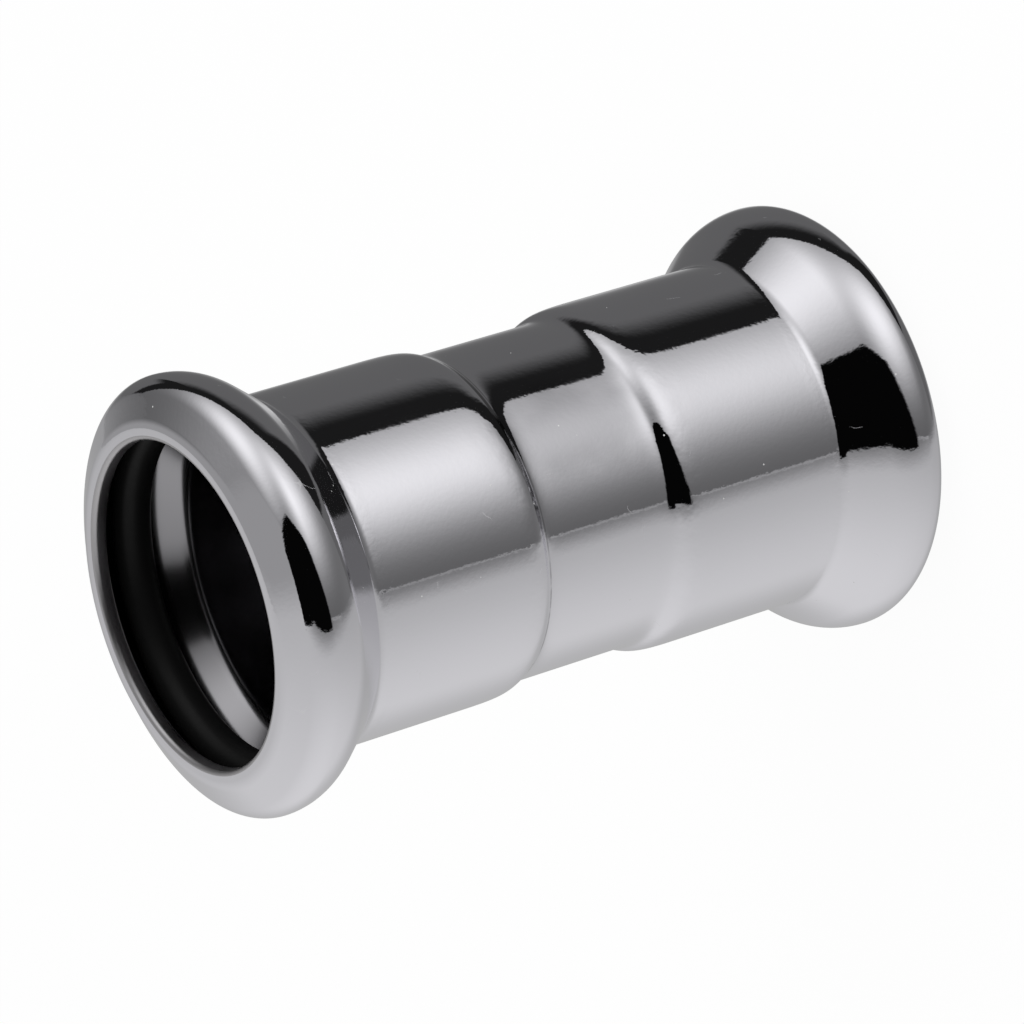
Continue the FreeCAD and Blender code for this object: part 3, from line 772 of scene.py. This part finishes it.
class SleeveSettings(bpy.types.PropertyGroup):
    overall_length: bpy.props.FloatProperty(
        name="Overall length", description="From one mouth face to the other", unit="LENGTH",
        default=SLEEVE_HIGH.z - SLEEVE_LOW.z)
    crown_radius: bpy.props.FloatProperty(
        name="Crown radius", description="Widest radius of the end beads", unit="LENGTH",
        default=SLEEVE_HIGH.x)
    socket_bore: bpy.props.FloatProperty(
        name="Socket bore", description="Radius that the pipe slides into", unit="LENGTH",
        default=SOCKET_BORE)
    wall: bpy.props.FloatProperty(
        name="Wall", description="Thickness of the sheet", unit="LENGTH", default=1.2 * MM)
    insertion_depth: bpy.props.FloatProperty(
        name="Insertion depth", description="Mouth face to where the pipe stop begins", unit="LENGTH",
        default=25.2 * MM)
    stop_height: bpy.props.FloatProperty(
        name="Stop height", description="How far the waist stands in from the socket", unit="LENGTH",
        default=0.86 * MM)
    stop_angle: bpy.props.FloatProperty(
        name="Stop angle", description="Slope of the pipe stop against the axis", unit="ROTATION",
        default=math.radians(24))
    shoulder_radius: bpy.props.FloatProperty(
        name="Shoulder radius", description="Outer round from the socket into the stop", unit="LENGTH",
        default=3.2 * MM)
    toe_radius: bpy.props.FloatProperty(
        name="Toe radius", description="Outer hollow from the stop into the waist", unit="LENGTH",
        default=2.0 * MM)
    shoulder_ease: bpy.props.FloatProperty(
        name="Shoulder ease", description="How far the stop's slope runs out into the socket, outside",
        unit="LENGTH", default=4.2 * MM)
    shoulder_tightness: bpy.props.FloatProperty(
        name="Shoulder tightness", description="Width of the steep part on the socket's side, outside",
        unit="LENGTH", default=0.7 * MM)
    toe_ease: bpy.props.FloatProperty(
        name="Toe ease", description="How far the stop's slope runs out into the waist, outside",
        unit="LENGTH", default=2.2 * MM)
    toe_tightness: bpy.props.FloatProperty(
        name="Toe tightness", description="Width of the steep part on the waist's side, outside",
        unit="LENGTH", default=0.45 * MM)
    crown_station: bpy.props.FloatProperty(
        name="Crown station", description="Mouth face to the bead's widest ring", unit="LENGTH",
        default=3.3 * MM)
    crown_front_radius: bpy.props.FloatProperty(
        name="Crown front radius", description="Round from the crown towards the mouth", unit="LENGTH",
        default=2.3 * MM)
    crown_back_radius: bpy.props.FloatProperty(
        name="Crown back radius", description="Round from the crown towards the socket", unit="LENGTH",
        default=5.1 * MM)
    flank_angle: bpy.props.FloatProperty(
        name="Flank angle", description="Slope of the bead's back against the axis", unit="ROTATION",
        default=math.radians(39))
    neck_radius: bpy.props.FloatProperty(
        name="Neck radius", description="Hollow between the bead's back and the socket", unit="LENGTH",
        default=1.5 * MM)
    front_lean: bpy.props.FloatProperty(
        name="Front lean", description="Slope of the bead's front against the mouth plane", unit="ROTATION",
        default=math.radians(28.3))
    mouth_edge_radius: bpy.props.FloatProperty(
        name="Mouth edge radius", description="Round on the inner edge of the cut face", unit="LENGTH",
        default=0.45 * MM)
    lip_land: bpy.props.FloatProperty(
        name="Lip land", description="Short straight bore behind the mouth edge", unit="LENGTH",
        default=0.65 * MM)
    lip_back_radius: bpy.props.FloatProperty(
        name="Lip back radius", description="Round where the lip turns into the seal chamber", unit="LENGTH",
        default=0.3 * MM)
    arc_step: bpy.props.FloatProperty(
        name="Arc step", description="Degrees between points on a round of the section", default=4.0)
    run_step: bpy.props.FloatProperty(
        name="Run step", description="Distance between points on a straight of the section", unit="LENGTH",
        default=0.6 * MM)
    stop_steps: bpy.props.IntProperty(
        name="Stop steps", description="Faces along each half of the stop's slope, outside", default=22)
    turn_steps: bpy.props.IntProperty(
        name="Turn steps", description="Faces round the sleeve", default=216)


class SteelFinish(bpy.types.PropertyGroup):
    colour: bpy.props.FloatVectorProperty(
        name="Colour", description="Colour of the bare steel", subtype="COLOR",
        default=(0.745, 0.738, 0.772))
    roughness: bpy.props.FloatProperty(
        name="Roughness", description="Roughness where the polish is best", default=0.02, subtype="FACTOR")
    roughness_spread: bpy.props.FloatProperty(
        name="Roughness spread", description="Extra roughness where the polish is dull", default=0.03)
    # the inside colour is darkened as painted shade of the bore; the lip colour is lighter, partly rubbed
    # bright and partly painted light
    shaded_inside_colour: bpy.props.FloatVectorProperty(
        name="Inside colour", description="Colour of the unpolished inside", subtype="COLOR",
        default=(0.35, 0.345, 0.36))
    rubbed_and_lit_lip_colour: bpy.props.FloatVectorProperty(
        name="Lip colour", description="Colour of the inside at the lip, which pipes rub bright",
        subtype="COLOR", default=(0.5, 0.49, 0.5))
    lip_station: bpy.props.FloatProperty(
        name="Lip station", description="Middle of the sleeve to where the lip's wear begins", unit="LENGTH",
        default=31 * MM)
    lip_roughness: bpy.props.FloatProperty(
        name="Lip roughness", description="How much rougher the lip is inside, at its very edge",
        default=0.2)
    inside_roughness: bpy.props.FloatProperty(
        name="Inside roughness", description="Roughness of the unpolished inside", default=0.13,
        subtype="FACTOR")
    inside_spread: bpy.props.FloatProperty(
        name="Inside spread", description="Extra roughness of the inside where it is dullest", default=0.08)
    smear_size: bpy.props.FloatProperty(
        name="Smear size", description="Size of the dull patches", unit="LENGTH", default=9 * MM)
    skin_size: bpy.props.FloatProperty(
        name="Skin size", description="Size of the waves in the skin", unit="LENGTH", default=0.45 * MM)
    skin_height: bpy.props.FloatProperty(
        name="Skin height", description="Height of the waves in the skin", unit="LENGTH",
        default=0.0045 * MM)
    step_station: bpy.props.FloatProperty(
        name="Step station", description="Middle of the sleeve to the pipe stops", unit="LENGTH",
        default=7.6 * MM)
    step_reach: bpy.props.FloatProperty(
        name="Step reach", description="How far the stops' dents spread", unit="LENGTH", default=2.6 * MM)
    dent_size: bpy.props.FloatProperty(
        name="Dent size", description="Size of the dents at the pipe stops", unit="LENGTH", default=1.3 * MM)
    dent_height: bpy.props.FloatProperty(
        name="Dent height", description="Depth of the dents at the pipe stops", unit="LENGTH",
        default=0.03 * MM)
    work_core: bpy.props.FloatProperty(
        name="Work core", description="Half the width over which dents and tool marks are at full depth",
        unit="LENGTH", default=0.3 * MM)
    neck_station: bpy.props.FloatProperty(
        name="Neck station", description="Middle of the sleeve to the tool marks at each neck",
        unit="LENGTH", default=23.2 * MM)
    neck_reach: bpy.props.FloatProperty(
        name="Neck reach", description="How far the tool marks spread from a neck", unit="LENGTH",
        default=1.3 * MM)
    tool_size: bpy.props.FloatProperty(
        name="Tool mark size", description="Size of the tool marks at the necks", unit="LENGTH",
        default=0.6 * MM)
    tool_depth: bpy.props.FloatProperty(
        name="Tool mark depth", description="Depth of the tool marks at the necks", unit="LENGTH",
        default=0.012 * MM)
    # the line settings shape painted shade along the crease at the upper stop's foot
    line_station: bpy.props.FloatProperty(
        name="Line station", description="Middle of the sleeve to the line at the stop's foot",
        unit="LENGTH", default=6.4 * MM)
    line_width: bpy.props.FloatProperty(
        name="Line width", description="Half the width of the line at the stop's foot", unit="LENGTH",
        default=0.14 * MM)
    line_piece: bpy.props.FloatProperty(
        name="Line piece", description="Size of the pieces that the line is broken into", unit="LENGTH",
        default=1.5 * MM)
    line_darkness: bpy.props.FloatProperty(
        name="Line darkness", description="How much the line at the stop's foot darkens the steel",
        default=0.4)
    # the mark settings shape a painted dark reflection streak on the upper stop's slope
    mark_station: bpy.props.FloatProperty(
        name="Mark station", description="Middle of the sleeve to the dark mark on the stop", unit="LENGTH",
        default=6.85 * MM)
    mark_width: bpy.props.FloatProperty(
        name="Mark width", description="Half the width of the dark mark on the stop", unit="LENGTH",
        default=0.3 * MM)
    mark_dot: bpy.props.FloatProperty(
        name="Mark dot", description="Size of the dots that the dark mark breaks into", unit="LENGTH",
        default=0.7 * MM)
    mark_fade: bpy.props.FloatProperty(
        name="Mark fade", description="Way down to the front over which the dark mark breaks up",
        unit="LENGTH", default=9 * MM)
    mark_darkness: bpy.props.FloatProperty(
        name="Mark darkness", description="How much the mark on the stop darkens the steel", default=0.8)
    scratch_bend: bpy.props.FloatProperty(
        name="Scratch bend", description="Size of the curves that the thin scratches run along",
        unit="LENGTH", default=4 * MM)
    scratch_length: bpy.props.FloatProperty(
        name="Scratch length", description="Size of the patches that show scratches", unit="LENGTH",
        default=2.6 * MM)
    dust_colour: bpy.props.FloatVectorProperty(
        name="Dust colour", description="Colour of specks and scratches", subtype="COLOR",
        default=(0.6, 0.6, 0.6))
    scratch_strength: bpy.props.FloatProperty(
        name="Scratch strength", description="How much the thin scratches cover the mirror", default=0.22)
    speck_gap: bpy.props.FloatProperty(
        name="Speck gap", description="Usual distance between dust specks", unit="LENGTH", default=2.1 * MM)
    speck_size: bpy.props.FloatProperty(
        name="Speck size", description="Radius of a dust speck", unit="LENGTH", default=0.075 * MM)
    speck_share: bpy.props.FloatProperty(
        name="Speck share", description="Share of the places for a speck that hold one", default=0.6)
    # the patch settings place a darker patch on the front of the waist, which dims the steel's colour
    patch_turn: bpy.props.FloatProperty(
        name="Haze turn", description="Angle round the sleeve from its front up to the film's middle",
        unit="ROTATION", default=math.radians(19))
    patch_radius: bpy.props.FloatProperty(
        name="Haze radius", description="Sleeve's axis to the film's middle", unit="LENGTH",
        default=14.5 * MM)
    patch_station: bpy.props.FloatProperty(
        name="Haze station", description="Lower mouth to the film's middle", unit="LENGTH",
        default=34.5 * MM)
    patch_reach: bpy.props.FloatProperty(
        name="Haze reach", description="How far the dull film on the waist spreads", unit="LENGTH",
        default=11.5 * MM)
    patch_slimness: bpy.props.FloatProperty(
        name="Haze slimness",
        description="How many times as far the film spreads along the sleeve as across", default=1.9)
    patch_cloud: bpy.props.FloatProperty(
        name="Haze cloud", description="Size of the lumps in the film's edge", unit="LENGTH", default=4 * MM)
    patch_strength: bpy.props.FloatProperty(
        name="Haze strength", description="How much the dull film darkens the steel", default=0.34)


class RingSettings(bpy.types.PropertyGroup):
    bore_radius: bpy.props.FloatProperty(
        name="Bore radius", description="Inner radius of the seal ring", unit="LENGTH",
        default=RING_HIGH.x - (RING_HIGH.z - RING_LOW.z))
    cord: bpy.props.FloatProperty(
        name="Cord", description="Thickness of the ring's round section", unit="LENGTH",
        default=RING_HIGH.z - RING_LOW.z)
    station: bpy.props.FloatProperty(
        name="Station", description="Height of the lower ring's middle above the mouth", unit="LENGTH",
        default=(RING_HIGH.z + RING_LOW.z) / 2)
    cord_steps: bpy.props.IntProperty(
        name="Cord steps", description="Faces round the ring's section", default=40)
    turn_steps: bpy.props.IntProperty(
        name="Turn steps", description="Faces round the ring", default=240)
    colour: bpy.props.FloatVectorProperty(
        name="Colour", description="Colour of the rubber", subtype="COLOR", default=(0.006, 0.006, 0.006))
    roughness: bpy.props.FloatProperty(
        name="Roughness", description="Roughness of the rubber's skin", default=0.3, subtype="FACTOR")
    roughness_spread: bpy.props.FloatProperty(
        name="Roughness spread", description="Extra roughness where the skin is coarsest", default=0.2)
    sheen: bpy.props.FloatProperty(
        name="Sheen", description="Strength of the rubber's gloss", default=0.13, subtype="FACTOR")
    grain_size: bpy.props.FloatProperty(
        name="Grain size", description="Size of the skin's grain", unit="LENGTH", default=0.35 * MM)
    grain_height: bpy.props.FloatProperty(
        name="Grain height", description="Height of the skin's grain", unit="LENGTH", default=0.004 * MM)


class StudioSettings(bpy.types.PropertyGroup):
    camera_lens: bpy.props.FloatProperty(
        name="Camera lens", description="Focal length in millimetres", default=199.63)
    camera_distance: bpy.props.FloatProperty(
        name="Camera distance", description="Camera to the coupling's middle", unit="LENGTH",
        default=486.373 * MM)
    camera_tilt: bpy.props.FloatProperty(
        name="Camera tilt",
        description="How high the camera stands above the level of the coupling's middle", unit="ROTATION",
        default=math.radians(30.332))
    camera_roll: bpy.props.FloatProperty(
        name="Camera roll", description="Turn of the picture about the line of sight", unit="ROTATION",
        default=math.radians(-107.13))
    aim_aside: bpy.props.FloatProperty(
        name="Aim aside", description="How far right of the picture's centre the coupling's middle lies",
        unit="LENGTH", default=0.266 * MM)
    aim_above: bpy.props.FloatProperty(
        name="Aim above", description="How far above the picture's centre the coupling's middle lies",
        unit="LENGTH", default=0.688 * MM)
    tent_radius: bpy.props.FloatProperty(
        name="Tent radius", description="Radius of the light tent", unit="LENGTH", default=416 * MM)
    left_lamp: bpy.props.FloatProperty(
        name="Left lamp", description="Brightness of the tent where the left lamp shines on it",
        default=0.92)
    right_lamp: bpy.props.FloatProperty(
        name="Right lamp", description="Brightness of the tent where the right lamp shines on it",
        default=0.95)
    lining_tone: bpy.props.FloatProperty(
        name="Lining tone", description="Brightness of the tent away from the lamps", default=0.134)
    air_light: bpy.props.FloatProperty(
        name="Air light", description="Even light on the object from all round", default=0.8)
    floor_whiteness: bpy.props.FloatProperty(
        name="Floor whiteness", description="Share of plain white in how the floor looks", default=0.95)
    floor_radius: bpy.props.FloatProperty(
        name="Floor radius", description="Radius of the floor under the coupling", unit="LENGTH",
        default=400 * MM)
    floor_gap: bpy.props.FloatProperty(
        name="Floor gap", description="Gap that keeps floor and rim from sharing a plane", unit="LENGTH",
        default=0.02 * MM)
    floor_colour: bpy.props.FloatVectorProperty(
        name="Floor colour", description="Colour of the floor where the lamps light it", subtype="COLOR",
        default=(0.9, 0.9, 0.9))
    lamp_azimuth: bpy.props.FloatProperty(
        name="Lamp azimuth", description="Degrees from the camera's side round to the right", default=-40)
    lamp_elevation: bpy.props.FloatProperty(
        name="Lamp elevation", description="Degrees from the picture's level up to the lamp", default=50)
    lamp_distance: bpy.props.FloatProperty(
        name="Lamp distance", description="Coupling's middle to the lamp", unit="LENGTH", default=400 * MM)
    lamp_size: bpy.props.FloatProperty(
        name="Lamp size", description="Width of the soft lamp", unit="LENGTH", default=300 * MM)
    lamp_power: bpy.props.FloatProperty(
        name="Lamp power", description="Power of the soft lamp in watts", default=0.8)


# operators and panel

class CouplingOperator:
    bl_options = {"REGISTER", "UNDO"}


class OBJECT_OT_coupling_sleeve(CouplingOperator, bpy.types.Operator):
    """Build the steel sleeve: beads, necks, sockets, pipe stops and waist"""
    bl_idname = "object.coupling_sleeve"
    bl_label = "Add Sleeve"

    def execute(self, context):
        shape, finish = context.scene.coupling_sleeve, context.scene.coupling_steel
        section, sides = sleeve_section(shape)
        materials = polished_steel(finish), dull_shaded_inside(finish)
        sleeve = turn_section("sleeve", section, sides, shape.turn_steps, *materials)
        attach(sleeve, "root")
        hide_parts("fitting_body")
        return {"FINISHED"}


class OBJECT_OT_coupling_rings(CouplingOperator, bpy.types.Operator):
    """Build the two rubber seal rings in the chambers of the beads"""
    bl_idname = "object.coupling_rings"
    bl_label = "Add Seal Rings"

    def execute(self, context):
        ring = context.scene.coupling_ring
        rubber = moulded_rubber(ring)
        for name, station in (("lower", ring.station), ("upper", SLEEVE_HIGH.z - ring.station)):
            section = ring_section(ring, station)
            piece = turn_section("ring_" + name, section, [0] * ring.cord_steps, ring.turn_steps, rubber)
            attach(piece, "root")
            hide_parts("seal_ring_" + name)
        return {"FINISHED"}


class OBJECT_OT_coupling_studio(CouplingOperator, bpy.types.Operator):
    """Set up the camera, the floor, the light tent and the soft lamp"""
    bl_idname = "object.coupling_studio"
    bl_label = "Add Studio"

    def execute(self, context):
        studio = context.scene.coupling_studio
        add_camera(studio)
        add_tent(studio)
        add_floor(studio)
        add_lamp(studio)
        set_world(studio)
        context.scene.view_settings.view_transform = "Standard"
        return {"FINISHED"}


class VIEW3D_PT_coupling(bpy.types.Panel):
    """Lists the steps that build the coupling"""
    bl_label = "Press Coupling"
    bl_idname = "VIEW3D_PT_coupling"
    bl_space_type = "VIEW_3D"
    bl_region_type = "UI"
    bl_category = "Press Coupling"

    def draw(self, context):
        for step in STEPS:
            self.layout.operator(step.bl_idname)


SETTINGS = {
    "coupling_sleeve": SleeveSettings,
    "coupling_steel": SteelFinish,
    "coupling_ring": RingSettings,
    "coupling_studio": StudioSettings,
}
STEPS = (OBJECT_OT_coupling_sleeve, OBJECT_OT_coupling_rings, OBJECT_OT_coupling_studio)


def register():
    for name, settings in SETTINGS.items():
        bpy.utils.register_class(settings)
        setattr(bpy.types.Scene, name, bpy.props.PointerProperty(type=settings))
    for step in STEPS:
        bpy.utils.register_class(step)
    bpy.utils.register_class(VIEW3D_PT_coupling)


def unregister():
    bpy.utils.unregister_class(VIEW3D_PT_coupling)
    for step in reversed(STEPS):
        bpy.utils.unregister_class(step)
    for name, settings in reversed(SETTINGS.items()):
        delattr(bpy.types.Scene, name)
        bpy.utils.unregister_class(settings)


def main():
    register()
    bpy.ops.object.coupling_sleeve()
    bpy.ops.object.coupling_rings()
    bpy.ops.object.coupling_studio()


if __name__ == "__main__":
    main()
